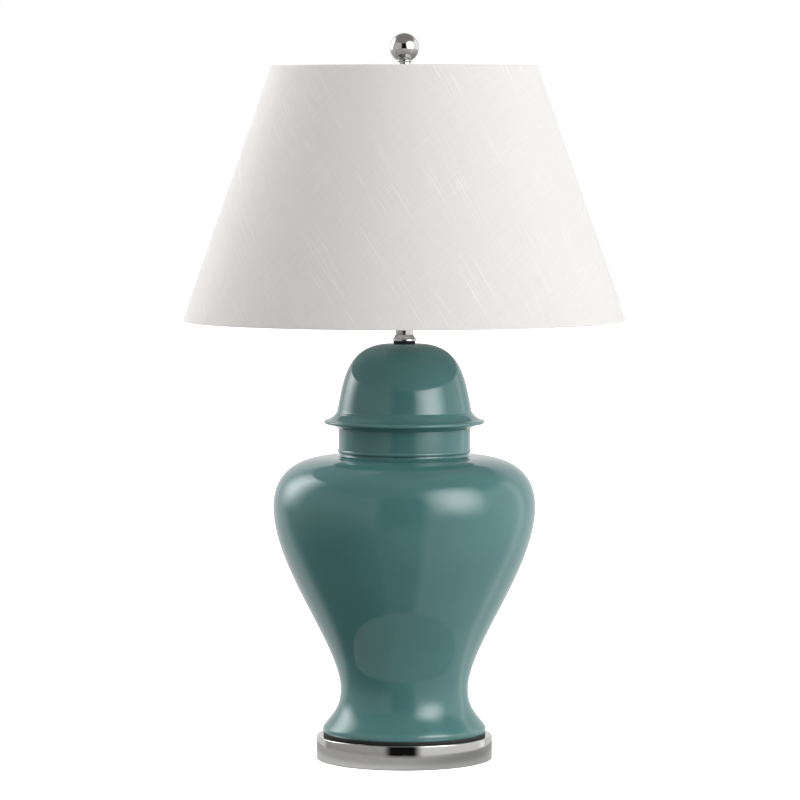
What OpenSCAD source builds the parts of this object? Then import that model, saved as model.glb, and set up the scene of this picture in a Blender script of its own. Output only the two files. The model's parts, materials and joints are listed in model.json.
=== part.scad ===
// Table lamp: a lidded ceramic jar on a metal drum base, with a linen empire shade.
// Millimetres, +Z up, the front looks along -Y. Origin: centre of the base's lowest face.

/* [Base] */
// Diameter of the metal drum base
base_d = 183; // [170:1:230]
// Height of the base, floor to top face
base_h = 25.6; // [24:0.1:40]
// Sheet thickness of the base shell
base_wall = 1.5; // [1:0.1:2.5]
// Thickness of the felt under the base
felt_t = 2; // [1.5:0.1:3]
// Thickness of the closing board
board_t = 2; // [1.5:0.1:3]
// Thickness of the cast weight
weight_t = 8; // [5:0.5:9]
// Gap between the cast weight and the shell's wall
weight_gap = 12; // [6:0.5:30]
// Bore of the cord bushing
cord_bore_d = 8; // [6:0.1:9]

/* [Jar] */
// How far the jar's foot sits inside the base's edge
foot_inset = 6.5; // [2:0.5:14]
// How far the jar's waist sits inside its foot
waist_inset = 18.5; // [10:0.5:28]
// Height of the waist above the seat
waist_h = 45; // [36:1:56]
// Diameter at the belly
belly_d = 272.4; // [220:0.2:330]
// Height of the belly above the seat
belly_h = 235.5; // [200:0.5:290]
// Height from the belly up to the shoulder's end
shoulder_h = 52.2; // [40:0.1:70]
// Diameter of the straight neck
neck_d = 136.8; // [120:0.1:165]
// Height of the neck from the shoulder to its rim
neck_h = 29.3; // [22:0.1:40]
// Wall thickness of the jar
jar_wall = 6; // [4:0.5:8]
// Thickness of the pad between base and foot
seat_pad_t = 2.9; // [2:0.1:4]

/* [Lid] */
// Overhang of the lid's brim beyond the neck
brim_overhang = 15; // [9:0.5:24]
// Thickness of the brim at its edge
brim_edge_t = 4; // [3:0.1:6]
// How far the dome's foot stands out from the neck
dome_overhang = 1.2; // [0.5:0.1:4]
// Height of the lid above the jar's rim
lid_h = 88; // [70:1:110]
// Wall thickness of the lid
lid_wall = 5; // [3.5:0.5:7]
// Depth of the lip that centres the lid in the neck
lip_h = 9; // [5:0.5:14]

/* [Neck hardware] */
// Diameter of the threaded rod
rod_d = 10; // [8:0.1:12]
// Bore of the threaded rod
rod_bore_d = 7; // [5:0.1:7.5]
// Diameter of the rubber washer on the lid
lid_washer_d = 22.6; // [18:0.1:30]
// Thickness of the rubber washer on the lid
lid_washer_t = 2.3; // [1.5:0.1:4]
// Diameter of the stepped neck flange
flange_d = 25; // [20:0.1:34]
// Height of the stepped neck flange
flange_h = 6.5; // [5:0.1:12]
// Outer diameter of the neck tube
tube_d = 18.6; // [15:0.1:19]
// Length of the neck tube
tube_l = 26.7; // [15:0.1:60]

/* [Socket] */
// Outer diameter of the socket cap
cap_d = 36; // [34:0.1:40]
// Height from the saddle to the bulb's tip
bulb_seat_h = 38.4; // [36:0.1:44]
// Length of the socket shell
shell_l = 55; // [48:0.5:60]
// Diameter of the switch knob
knob_d = 12; // [9:0.5:16]
// Length of the switch knob
knob_l = 14; // [10:0.5:20]

/* [Bulb] */
// Diameter of the bulb's globe
globe_d = 60; // [45:1:66]
// Overall length of the bulb
bulb_l = 110; // [100:1:125]

/* [Harp] */
// Height of the harp, saddle to shade seat
harp_h = 240; // [215:1:290]
// Width of the harp at its widest, wire centre to wire centre
harp_w = 114; // [100:1:130]
// Distance between the harp's feet
harp_foot_w = 48; // [46:0.5:60]
// Diameter of the harp wire
harp_wire_d = 3.2; // [2.5:0.1:4]
// Rise of each ferrule when the harp is released
ferrule_rise = 12; // [8:1:14]

/* [Shade] */
// Diameter of the shade at the bottom
shade_bottom_d = 460; // [380:1:560]
// Diameter of the shade at the top
shade_top_d = 276; // [230:1:340]
// Height of the shade
shade_h = 262.9; // [230:0.1:320]
// Depth of the spider hub below the shade's top edge
hub_drop = 6.8; // [5.5:0.1:30]
// Thickness of the linen
fabric_t = 0.9; // [0.5:0.1:1.5]
// Thickness of the stiff liner
liner_t = 0.8; // [0.5:0.1:1.5]
// Height of the rolled hems
hem_h = 7; // [5:0.5:14]
// Diameter of the ring wires
ring_wire_d = 3.2; // [2.5:0.1:4]

/* [Finial] */
// Diameter of the ball
ball_d = 30.3; // [20:0.1:40]
// Diameter of the collar below the ball
collar_d = 15.4; // [13:0.1:18]
// Height of the collar
collar_h = 12.6; // [12:0.1:20]

/* [Hidden] */
$fn = 96;
eps = 0.01;
gap = 0.3;            // clearance between pieces that move apart
run_fit = 0.05;       // radial clearance of a turning fit
rod_r = rod_d / 2;
rod_hole_r = rod_r + 0.3;

// Base
base_r = base_d / 2;
shell_lift = 0.8;     // the felt stands this much below the shell
shell_in_r = base_r - base_wall;
shell_edge_r = 1.2;   // rounding of the shell's top edge
shell_top_in = base_h - base_wall;
board_r = shell_in_r - 0.5;
felt_r = board_r - 1.5;
weight_r = shell_in_r - weight_gap;
weight_low = shell_top_in - weight_t;
washer_t = 1.2;
lock_t = 1.6;
nut_t = 4;
nut_across = 1.6 * rod_d;
nut_low = weight_low - washer_t - lock_t - nut_t;
rod_low = nut_low - 0.3;
bush_r = cord_bore_d / 2 + 1.2;
bush_flange_r = bush_r + 1.6;
bush_t = 1.5;
bush_z = 10;
bush_catch_l = 2;

// Jar
seat_z = base_h + seat_pad_t;
foot_r = base_r - foot_inset;
waist_r = foot_r - waist_inset;
belly_r = belly_d / 2;
neck_r = neck_d / 2;
foot_round_r = 5.5;
foot_round_h = 3.5;
foot_ring_w = 12;
foot_recess = 1.5;
floor_t = 1.2 * jar_wall;
flare_pull = 15.8;     // how long the foot's flare keeps its lean
flare_rise = 20;       // length of the curve's handle below the waist
swell_drop = 65;       // length of the curve's handle below the belly
shoulder_rise = 24;    // length of the curve's handle above the belly
neck_step = 1.6;       // the shoulder stops this far outside the neck
bead_r = 2.3;
bead_h = 5.9;
cove_r = 3.4;
rim_h = belly_h + shoulder_h + neck_h;
rim_z = seat_z + rim_h;

// Lid
brim_r = neck_r + brim_overhang;
dome_r = neck_r + dome_overhang;
lip_fit = 0.9;
lip_r = neck_r - jar_wall - lip_fit;
lip_t = 4;
brim_edge_h = 6.6;    // height of the brim's rounded edge above the rim
dome_foot_h = 18.5;   // height of the dome's foot above the rim
crown_r = 12;         // flat on the crown under the washer
crown_z = rim_z + lid_h;

// Neck hardware
flange_z = crown_z + lid_washer_t;
tube_z = flange_z + flange_h;
tube_wall = 1.2;
saddle_z = tube_z + tube_l;
saddle_t = 1.6;
saddle_top = saddle_z + saddle_t;
saddle_w = 10;
saddle_eye_r = rod_hole_r + 4;
post_x = harp_foot_w / 2;
post_shoulder_h = 5.4;
post_h = 12;
post_r = 2.2;
post_shoulder_r = 3;
wire_r = harp_wire_d / 2;
wire_foot_h = 5;
ferrule_l = 13;
ferrule_r = 3.4;
ferrule_bore_r = post_r + 0.1;
ferrule_low = saddle_top + post_shoulder_h + gap;

// Harp top and swivel stud
shade_seat_z = saddle_top + harp_h;
stud_shoulder_t = 2.1;
stud_shoulder_r = 5.2;
stud_r = 3.15;
stud_l = 12.7;
stud_pin_r = 1.85;
stud_pin_l = 4;
plate_r = 5;
plate_top = shade_seat_z - stud_shoulder_t - gap;
plate_h = 8.5;
wire_top_z = plate_top - 6;

// Socket
cap_r = cap_d / 2;
cap_wall = 0.7;
hub_r = 8;
cap_hub_h = 6.4;
cap_flare_h = 7;
cap_top = saddle_top + 21.4;
sleeve_fit = 0.1;
shell_r = cap_r - cap_wall - sleeve_fit;
shell_wall = 0.6;
shell_low = saddle_top + 15.4;
shell_top = shell_low + shell_l;
insul_r = shell_r - shell_wall - sleeve_fit;
insul_t = 0.6;
interior_r = 13.6;
interior_low = saddle_top + 12.4;
tip_z = saddle_top + bulb_seat_h;
interior_top = tip_z - 3;
screw_in_r = 13.8;
screw_wall = 0.6;
screw_shell_h = 29;
contact_r = 3;
term_z = interior_low + 8;
term_shank_r = 1.5;
term_head_r = 3;
term_head_t = 1.6;
term_x = 8;           // the terminal screws start this far from the axis
set_z = saddle_top + 3;
set_r = 1.6;
set_l = 4.5;
spindle_z = interior_top - 7;
spindle_r = 2;
spindle_in = 8;       // depth where the spindle starts, from the axis
spindle_hole_r = spindle_r + run_fit;
spindle_gap_r = spindle_r + 0.6;
knob_y = cap_r + 4;
knob_r = knob_d / 2;
knob_flutes = 12;

// Bulb
bulb_cap_r = 13.2;
bulb_tip_t = 2;
bulb_glass_z = tip_z + bulb_tip_t + gap;
bulb_glass_h = 3.5;
bulb_cap_z = bulb_glass_z + bulb_glass_h;
bulb_cap_h = 21.5;
housing_z = bulb_cap_z + bulb_cap_h;
globe_r = globe_d / 2;
globe_top = tip_z + bulb_l;
globe_z = globe_top - globe_r;
housing_r = 0.84 * globe_r;
housing_top = globe_z - sqrt(globe_r * globe_r - housing_r * housing_r);
housing_wall = 2;
globe_wall = 1.5;
led_t = 1.5;

// Shade
hub_t = 2.6;
hub_z = shade_seat_z + gap;
shade_top = hub_z + hub_t + hub_drop - gap;
shade_low = shade_top - shade_h;
shade_low_r = shade_bottom_d / 2;
shade_slope = (shade_bottom_d - shade_top_d) / 2 / shade_h;
shade_face = sqrt(1 + shade_slope * shade_slope);  // level width per millimetre of thickness
hem_t = 0.4;
fabric_out = hem_t * shade_face;
liner_out = fabric_out + fabric_t * shade_face;
liner_in = liner_out + liner_t * shade_face;
edge_inset = 0.6;
ring_r = ring_wire_d / 2;
ring_up = 0.9 + ring_r;
ring_in = liner_in + ring_r * shade_face;
spider_hub_r = 12;
arm_r = 1.4;
arm_z = hub_z + arm_r - 0.1;
stud_clear_r = stud_r + 0.25;

// Finial
ball_r = ball_d / 2;
collar_r = collar_d / 2;
collar_z = hub_z + hub_t + gap;
collar_top = collar_z + collar_h;
ball_seat_r = collar_r + 0.55;
ball_z = collar_top + sqrt(ball_r * ball_r - ball_seat_r * ball_seat_r);
insert_r = 4.4;
insert_l = 10.2;
insert_z = collar_z + gap;

// Points along a cubic curve
function curve(a, b, c, d, n) = [for (i = [0:n]) let (t = i / n, s = 1 - t)
    s * s * s * a + 3 * s * s * t * b + 3 * s * t * t * c + t * t * t * d];

// Points along an arc about c, from angle a to angle b
function arc(c, r, a, b, n) = [for (i = [0:n]) let (t = a + (b - a) * i / n)
    c + r * [cos(t), sin(t)]];

// An outline moved towards the axis by a wall thickness
function inset_path(p, t) = [for (i = [0:len(p) - 1])
    let (d = p[min(i + 1, len(p) - 1)] - p[max(i - 1, 0)]) p[i] + t * [-d[1], d[0]] / norm(d)];

function reversed(p) = [for (i = [len(p) - 1:-1:0]) p[i]];

// Radius of the shade's outer cone at a height
function shade_r(z) = shade_low_r - shade_slope * (z - shade_low);

// Outline of the jar's wall from the flare above the foot to the neck, axis to the left
foot_c = [foot_r - foot_round_r, foot_round_h];
foot_arc_end = 36;
foot_end = foot_c + foot_round_r * [cos(foot_arc_end), sin(foot_arc_end)];
jar_flare = curve(foot_end, foot_end + flare_pull * [-sin(foot_arc_end), cos(foot_arc_end)],
    [waist_r, waist_h - flare_rise], [waist_r, waist_h], 16);
jar_swell = curve([waist_r, waist_h], [waist_r, 2 * waist_h],
    [belly_r, belly_h - swell_drop], [belly_r, belly_h], 28);
shoulder_end = [neck_r + neck_step, belly_h + shoulder_h];
jar_shoulder = curve([belly_r, belly_h], [belly_r, belly_h + shoulder_rise],
    [0.62 * belly_r + 0.58 * neck_r, belly_h + shoulder_h + 0.8], shoulder_end, 24);
jar_cove = arc(shoulder_end + [0, cove_r], cove_r, 270, 180, 5);
bead_c = [neck_r + 0.8 - bead_r, belly_h + shoulder_h + bead_h];
jar_bead = arc(bead_c, bead_r, -90, 50, 8);

module washer(r, hole, t) {
    difference() {
        cylinder(r = r, h = t);
        translate([0, 0, -1]) cylinder(r = hole, h = t + 2);
    }
}

module turned(points) {
    rotate_extrude() polygon(points);
}

// ---- Base ----
module base_felt_pad() {
    color("dimgray") cylinder(r = felt_r, h = felt_t);
}

module base_closing_board() {
    color("peru") translate([0, 0, felt_t]) cylinder(r = board_r, h = board_t);
}

module base_shell() {
    color("silver") difference() {
        turned(concat(
            [[rod_hole_r, shell_top_in], [shell_in_r, shell_top_in], [shell_in_r, shell_lift],
                [base_r, shell_lift]],
            arc([base_r - shell_edge_r, base_h - shell_edge_r], shell_edge_r, 0, 90, 6),
            [[rod_hole_r, base_h]]));
        translate([0, shell_in_r - 3, bush_z]) rotate([-90, 0, 0])
            cylinder(r = bush_r, h = base_wall + 6);
    }
}

module base_weight() {
    color("dimgray") translate([0, 0, weight_low]) washer(weight_r, rod_hole_r, weight_t);
}

module base_flat_washer() {
    color("silver") translate([0, 0, weight_low - washer_t]) washer(1.2 * rod_d, rod_hole_r, washer_t);
}

module base_lock_washer() {
    color("gray") translate([0, 0, weight_low - washer_t - lock_t]) difference() {
        washer(0.85 * rod_d, rod_hole_r, lock_t);
        translate([rod_r, -0.6, -1]) cube([rod_d, 1.2, lock_t + 2]);
    }
}

module base_hex_nut() {
    color("goldenrod") translate([0, 0, nut_low]) difference() {
        cylinder(r = nut_across / 2 / cos(30), h = nut_t, $fn = 6);
        translate([0, 0, -1]) cylinder(r = rod_r, h = nut_t + 2);
    }
}

module cord_bushing() {
    color("black") translate([0, 0, bush_z]) difference() {
        union() {
            translate([0, shell_in_r - bush_catch_l, 0]) rotate([-90, 0, 0])
                cylinder(r = bush_r, h = bush_catch_l + base_wall + bush_t);
            difference() {
                translate([0, base_r - 2, 0]) rotate([-90, 0, 0])
                    cylinder(r = bush_flange_r, h = 2 + bush_t);
                translate([0, 0, -base_h]) cylinder(r = base_r, h = 2 * base_h, $fn = 180);
            }
        }
        translate([0, shell_in_r - bush_catch_l - 1, 0]) rotate([-90, 0, 0])
            cylinder(r = cord_bore_d / 2, h = bush_catch_l + base_wall + bush_t + 2);
    }
}

// ---- Jar and lid ----
module jar_seat_pad() {
    color("black") translate([0, 0, base_h]) washer(foot_r - 0.7, rod_hole_r, seat_pad_t);
}

module jar_body() {
    outer = concat(jar_flare, [for (i = [1:28]) jar_swell[i]], [for (i = [1:24]) jar_shoulder[i]]);
    inner_all = inset_path(outer, jar_wall);
    inner = [for (p = inner_all)
        if (p[1] > floor_t + 1 && (p[1] < belly_h || p[0] > neck_r - jar_wall + 1)) p];
    foot_start = -asin(foot_round_h / foot_round_r);
    color("teal") translate([0, 0, seat_z]) turned(concat(
        [[rod_hole_r, foot_recess], [foot_r - foot_ring_w, foot_recess], [foot_r - foot_ring_w, 0]],
        arc(foot_c, foot_round_r, foot_start, foot_arc_end, 8),
        [for (i = [1:len(outer) - 1]) outer[i]],
        [for (i = [1:len(jar_cove) - 1]) jar_cove[i]],
        jar_bead,
        [[neck_r, bead_c[1] + bead_r + 0.6], [neck_r, rim_h]],
        [[neck_r - jar_wall, rim_h], [neck_r - jar_wall, belly_h + shoulder_h - jar_wall + 2]],
        reversed(inner),
        [[inner[0][0] - 1, floor_t], [rod_hole_r, floor_t]]));
}

module jar_lid() {
    edge_r = brim_edge_t / 2;
    edge_c = [brim_r - edge_r, brim_edge_h];
    dome_foot = [dome_r, dome_foot_h];
    dome = curve(dome_foot, [dome_r - 6.9, dome_foot_h + 0.41 * lid_h],
        [dome_r - 11, lid_h], [crown_r, lid_h], 24);
    inner = inset_path(dome, lid_wall);
    color("teal") translate([0, 0, rim_z]) turned(concat(
        [[lip_r - lip_t, -lip_h], [lip_r, -lip_h], [lip_r, 0], [neck_r + 1, 0]],
        curve([neck_r + 1.2, 0.1], [neck_r + 3, 2.4], [edge_c[0] - 6, 4], edge_c + [-0.6, -edge_r], 6),
        arc(edge_c, edge_r, -90, 75, 8),
        curve(edge_c + edge_r * [cos(76), sin(76)], edge_c + [-4, edge_r + 0.4],
            [dome_r + 3.6, 12.6], [dome_r + 1.5, 15.6], 6),
        curve([dome_r + 1.4, 15.9], [dome_r + 0.9, 16.4], [dome_r + 0.2, 17.2], dome_foot, 3),
        [for (i = [1:len(dome) - 1]) dome[i]],
        [[rod_hole_r, lid_h], [rod_hole_r, lid_h - lid_wall]],
        reversed(inner),
        [[lip_r - lip_t, 3]]));
}

// ---- Neck hardware ----
module threaded_rod() {
    color("goldenrod") translate([0, 0, rod_low])
        washer(rod_r, rod_bore_d / 2, saddle_top + cap_hub_h - 0.4 - rod_low);
}

module lid_washer() {
    color("black") translate([0, 0, crown_z]) washer(lid_washer_d / 2, rod_hole_r, lid_washer_t);
}

module neck_flange() {
    r = flange_d / 2;
    top_r = tube_d / 2 + 0.5;
    color("silver") translate([0, 0, flange_z]) turned(concat(
        [[rod_hole_r, 0], [r - 0.6, 0]],
        arc([r - 1.1, 1.1], 1.1, -40, 70, 6),
        curve([r - 1.3, 2.6], [r - 1.6, 3.4], [top_r + 0.6, flange_h - 2.2], [top_r, flange_h - 0.6], 6),
        [[top_r - 0.4, flange_h], [rod_hole_r, flange_h]]));
}

module neck_tube() {
    color("silver") translate([0, 0, tube_z]) washer(tube_d / 2, tube_d / 2 - tube_wall, tube_l);
}

// ---- Harp ----
module harp_saddle() {
    color("goldenrod") difference() {
        union() {
            translate([-post_x, -saddle_w / 2, saddle_z]) cube([2 * post_x, saddle_w, saddle_t]);
            translate([0, 0, saddle_z]) cylinder(r = saddle_eye_r, h = saddle_t);
            for (side = [-1, 1]) translate([side * post_x, 0, saddle_z]) {
                cylinder(r = saddle_w / 2, h = saddle_t);
                cylinder(r = post_shoulder_r, h = saddle_t + post_shoulder_h);
                cylinder(r = post_r, h = saddle_t + post_h);
            }
        }
        translate([0, 0, saddle_z - 1]) cylinder(r = rod_hole_r, h = saddle_t + 2);
    }
}

// Half of the harp's centreline, from the foot up to the middle of the top
harp_side_x = harp_w / 2;
harp_straight = saddle_top + post_h + wire_foot_h + ferrule_l + 4;
harp_bow_z = saddle_top + 0.44 * harp_h;
harp_half = concat(
    [[post_x, saddle_top + post_h + 2]],
    curve([post_x, harp_straight], [post_x, harp_straight + 26],
        [harp_side_x, harp_bow_z - 44], [harp_side_x, harp_bow_z], 13),
    [for (i = [1:18]) curve([harp_side_x, harp_bow_z], [harp_side_x, harp_bow_z + 0.3 * harp_h],
        [0.72 * harp_side_x, wire_top_z], [plate_r + 2, wire_top_z], 18)[i]]);
harp_path = concat(harp_half, [for (p = reversed(harp_half)) [-p[0], p[1]]]);

// A round wire swept along points of the XZ plane
module wire(path, r, sides) {
    last = len(path) - 1;
    rings = [for (i = [0:last]) let (d = path[min(i + 1, last)] - path[max(i - 1, 0)],
        n = [-d[1], d[0]] / norm(d)) for (k = [0:sides - 1]) let (a = 360 * k / sides)
        [path[i][0] + r * cos(a) * n[0], r * sin(a), path[i][1] + r * cos(a) * n[1]]];
    faces = concat(
        [[for (k = [sides - 1:-1:0]) k]],
        [for (i = [0:last - 1]) for (k = [0:sides - 1])
            let (a = i * sides + k, b = i * sides + (k + 1) % sides) [a, b, b + sides, a + sides]],
        [[for (k = [0:sides - 1]) last * sides + k]]);
    polyhedron(points = rings, faces = faces, convexity = 6);
}

module harp_wire() {
    color("goldenrod") {
        wire(harp_path, wire_r, 12);
        for (side = [-1, 1]) translate([side * post_x, 0, saddle_top + post_h])
            cylinder(r = post_r, h = wire_foot_h);
    }
}

module ferrule(side) {
    color("gold") translate([side * post_x, 0, ferrule_low]) difference() {
        turned(concat(
            [[ferrule_bore_r, 0], [ferrule_r, 0]],
            [[ferrule_r, 1.2], [ferrule_r - 0.4, 1.8], [ferrule_r - 0.4, ferrule_l - 1.8]],
            [[ferrule_r, ferrule_l - 1.2], [ferrule_r, ferrule_l], [ferrule_bore_r, ferrule_l]]));
    }
}

module harp_ferrule_left() {
    ferrule(-1);
}

module harp_ferrule_right() {
    ferrule(1);
}

module harp_top_plate() {
    color("goldenrod") difference() {
        translate([0, 0, plate_top - plate_h]) cylinder(r = plate_r, h = plate_h);
        translate([-plate_r - 1, 0, wire_top_z]) rotate([0, 90, 0])
            cylinder(r = wire_r, h = 2 * plate_r + 2);
        translate([0, 0, plate_top - stud_pin_l]) cylinder(r = stud_pin_r + run_fit, h = stud_pin_l + 1);
    }
}

module harp_swivel_stud() {
    color("goldenrod") {
        translate([0, 0, plate_top - stud_pin_l + gap]) cylinder(r = stud_pin_r, h = stud_pin_l + 1);
        translate([0, 0, plate_top + gap]) cylinder(r = stud_shoulder_r, h = stud_shoulder_t);
        translate([0, 0, shade_seat_z - 1]) cylinder(r = stud_r, h = stud_l + 1 - 0.6);
        translate([0, 0, shade_seat_z + stud_l - 0.6]) cylinder(r1 = stud_r, r2 = stud_r - 0.6, h = 0.6);
    }
}

// ---- Socket ----
module socket_cap() {
    h = cap_top - saddle_top;
    color("goldenrod") translate([0, 0, saddle_top]) difference() {
        turned(concat(
            [[rod_r, 0], [hub_r, 0], [hub_r, cap_hub_h]],
            curve([hub_r + 0.2, cap_hub_h + 0.2], [cap_r - 3, cap_hub_h + 0.4],
                [cap_r, cap_hub_h + 3], [cap_r, cap_hub_h + cap_flare_h], 8),
            [[cap_r, h], [cap_r - cap_wall, h], [cap_r - cap_wall, cap_hub_h + cap_flare_h]],
            curve([cap_r - cap_wall, cap_hub_h + cap_flare_h - 0.2], [cap_r - cap_wall, cap_hub_h + 4],
                [cap_r - 4, cap_hub_h + 1.4], [hub_r, cap_hub_h + 1.2], 8),
            [[rod_r, cap_hub_h + 1.2]]));
        translate([0, rod_r - 1, set_z - saddle_top]) rotate([-90, 0, 0]) cylinder(r = set_r, h = hub_r);
    }
}

module socket_set_screw() {
    color("silver") translate([0, rod_r + 0.1, set_z]) rotate([-90, 0, 0]) difference() {
        cylinder(r = set_r, h = set_l);
        translate([-set_r - 1, -0.3, set_l - 0.8]) cube([2 * set_r + 2, 0.6, 2]);
    }
}

// Round hole for the switch spindle through the walls of the socket
module spindle_hole(r) {
    translate([0, 0, spindle_z]) rotate([90, 0, 0]) cylinder(r = r, h = cap_r + 5);
}

module socket_shell() {
    color("goldenrod") difference() {
        translate([0, 0, shell_low]) turned([
            [shell_r - shell_wall, 0], [shell_r, 0], [shell_r, shell_l - 5], [cap_r, shell_l - 4],
            [cap_r, shell_l - 1], [shell_r, shell_l], [shell_r - shell_wall, shell_l]]);
        spindle_hole(spindle_gap_r);
    }
}

module socket_insulator() {
    color("tan") difference() {
        translate([0, 0, shell_low]) washer(insul_r, insul_r - insul_t, shell_l - 1);
        spindle_hole(spindle_gap_r);
    }
}

module socket_interior() {
    color("black") difference() {
        translate([0, 0, interior_low]) cylinder(r = interior_r, h = interior_top - interior_low);
        translate([0, -spindle_in + 0.5, spindle_z]) rotate([90, 0, 0])
            cylinder(r = spindle_hole_r, h = cap_r);
        for (side = [-1, 1]) translate([side * term_x, 0, term_z]) rotate([0, side * 90, 0])
            cylinder(r = term_shank_r, h = cap_r);
    }
}

module socket_screw_shell() {
    color("gainsboro") translate([0, 0, interior_top]) difference() {
        cylinder(r = screw_in_r + screw_wall, h = screw_shell_h);
        translate([0, 0, screw_wall]) cylinder(r = screw_in_r, h = screw_shell_h);
        translate([0, 0, -1]) cylinder(r = contact_r + 2, h = 3);
    }
}

module socket_centre_contact() {
    color("gold") translate([0, 0, interior_top]) cylinder(r = contact_r, h = tip_z - interior_top - gap);
}

module socket_terminal_screws() {
    color("gold") for (side = [-1, 1]) translate([side * term_x, 0, term_z]) rotate([0, side * 90, 0]) {
        cylinder(r = term_shank_r, h = interior_r - term_x + 0.1);
        translate([0, 0, interior_r - term_x]) cylinder(r = term_head_r, h = term_head_t);
    }
}

module switch_spindle() {
    color("gold") translate([0, -spindle_in, spindle_z]) rotate([90, 0, 0])
        cylinder(r = spindle_r, h = knob_y + 6 - spindle_in);
}

module switch_knob() {
    color("black") translate([0, -knob_y, spindle_z]) rotate([90, 0, 0]) difference() {
        turned([[0, 0], [knob_r - 1.5, 0], [knob_r, 2], [knob_r, knob_l - 1.5],
            [knob_r - 1.5, knob_l], [0, knob_l]]);
        for (k = [0:knob_flutes - 1]) rotate([0, 0, 360 * k / knob_flutes])
            translate([knob_r + 0.5, 0, 2.5]) cylinder(r = 1.1, h = knob_l);
        translate([0, 0, -1]) cylinder(r = spindle_r, h = 7);
    }
}

// ---- Bulb ----
module bulb_contact() {
    color("silver") translate([0, 0, tip_z]) cylinder(r1 = contact_r, r2 = contact_r + 1, h = bulb_tip_t);
}

module bulb_insulator() {
    color("black") translate([0, 0, bulb_glass_z])
        cylinder(r1 = contact_r + 2.5, r2 = bulb_cap_r - 1.6, h = bulb_glass_h);
}

module bulb_screw_cap() {
    color("gainsboro") translate([0, 0, bulb_cap_z]) difference() {
        cylinder(r = bulb_cap_r, h = bulb_cap_h);
        translate([0, 0, 1]) cylinder(r = bulb_cap_r - 0.5, h = bulb_cap_h);
    }
}

module bulb_housing() {
    h = housing_top - housing_z;
    outer = curve([bulb_cap_r, 2], [bulb_cap_r + 0.5, 0.45 * h], [housing_r - 2, 0.6 * h], [housing_r, h], 10);
    color("white") translate([0, 0, housing_z]) turned(concat(
        [[bulb_cap_r - 3, 0], [bulb_cap_r, 0]], outer, reversed(inset_path(outer, housing_wall)),
        [[bulb_cap_r - 3, 2]]));
}

module bulb_led_board() {
    color("white") translate([0, 0, housing_top]) cylinder(r = housing_r - housing_wall, h = led_t);
}

module bulb_diffuser() {
    start = -acos(housing_r / globe_r);
    color("white") translate([0, 0, globe_z]) turned(concat(
        arc([0, 0], globe_r, start, 90, 24), arc([0, 0], globe_r - globe_wall, 90, start, 24)));
}

// ---- Shade ----
// A conical band between two heights, at level depths behind the outer cone
module cone_band(low, high, out, in) {
    turned([[shade_r(low) - in, low], [shade_r(low) - out, low],
        [shade_r(high) - out, high], [shade_r(high) - in, high]]);
}

module shade_fabric() {
    color("ivory") cone_band(shade_low + edge_inset, shade_top - edge_inset, fabric_out, liner_out);
}

module shade_liner() {
    color("white") cone_band(shade_low + edge_inset, shade_top - edge_inset, liner_out, liner_in);
}

// A hem folded round the shade's edge and its ring wire; up is 1 at the bottom, -1 at the top
module hem(edge, up) {
    depth = liner_in + (ring_wire_d + 0.1) * shade_face;
    inner_h = 2 * ring_r + 2.4;
    at = function (out, h) [shade_r(edge + up * h) - out, edge + up * h];
    turned([at(0, 0), at(0, hem_h), at(fabric_out, hem_h), at(fabric_out, edge_inset),
        at(depth, edge_inset), at(depth, inner_h), at(depth + fabric_out, inner_h),
        at(depth + fabric_out, 0)]);
}

module shade_top_trim() {
    color("ivory") difference() {
        hem(shade_top, -1);
        spider_rods(arm_r + 0.1);
    }
}

module shade_bottom_trim() {
    color("ivory") hem(shade_low, 1);
}

module ring_wire(z) {
    rotate_extrude() translate([shade_r(z) - ring_in, z]) circle(r = ring_r);
}

module shade_top_ring() {
    color("silver") ring_wire(shade_top - ring_up);
}

module shade_bottom_ring() {
    color("silver") ring_wire(shade_low + ring_up);
}

// Three straight rods from inside the hub out to the middle of the top ring's wire
module spider_rods(r) {
    end_z = shade_top - ring_up;
    end_r = shade_r(end_z) - ring_in;
    start_r = spider_hub_r - 2;
    run = [end_r - start_r, end_z - arm_z];
    for (k = [0:2]) rotate([0, 0, 90 + 120 * k]) translate([start_r, 0, arm_z])
        rotate([0, 90 - atan2(run[1], run[0]), 0]) cylinder(r = r, h = norm(run));
}

module shade_spider_arms() {
    color("silver") difference() {
        spider_rods(arm_r);
        translate([0, 0, hub_z - 5]) cylinder(r = spider_hub_r, h = hub_t + 10);
        ring_wire(shade_top - ring_up);
    }
}

module shade_spider_hub() {
    color("silver") translate([0, 0, hub_z]) washer(spider_hub_r, stud_clear_r, hub_t);
}

// ---- Finial ----
module finial_base() {
    bore_r = insert_r + run_fit;
    color("silver") translate([0, 0, collar_z]) difference() {
        turned(concat(
            [[0, 0], [collar_r - 0.4, 0], [collar_r, 0.6]],
            curve([collar_r, collar_h - 5], [collar_r - 0.9, collar_h - 3.6],
                [collar_r - 0.9, collar_h - 2.2], [collar_r, collar_h - 1], 6),
            [[collar_r, collar_h], [0, collar_h]]));
        translate([0, 0, -1]) cylinder(r = bore_r, h = insert_l + 1.9);
    }
}

module finial_insert() {
    color("goldenrod") translate([0, 0, insert_z]) washer(insert_r, stud_r + run_fit, insert_l);
}

module finial_ball() {
    color("silver") difference() {
        translate([0, 0, ball_z]) sphere(r = ball_r);
        translate([0, 0, collar_top - ball_d]) cylinder(r = ball_d, h = ball_d);
    }
}

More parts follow.
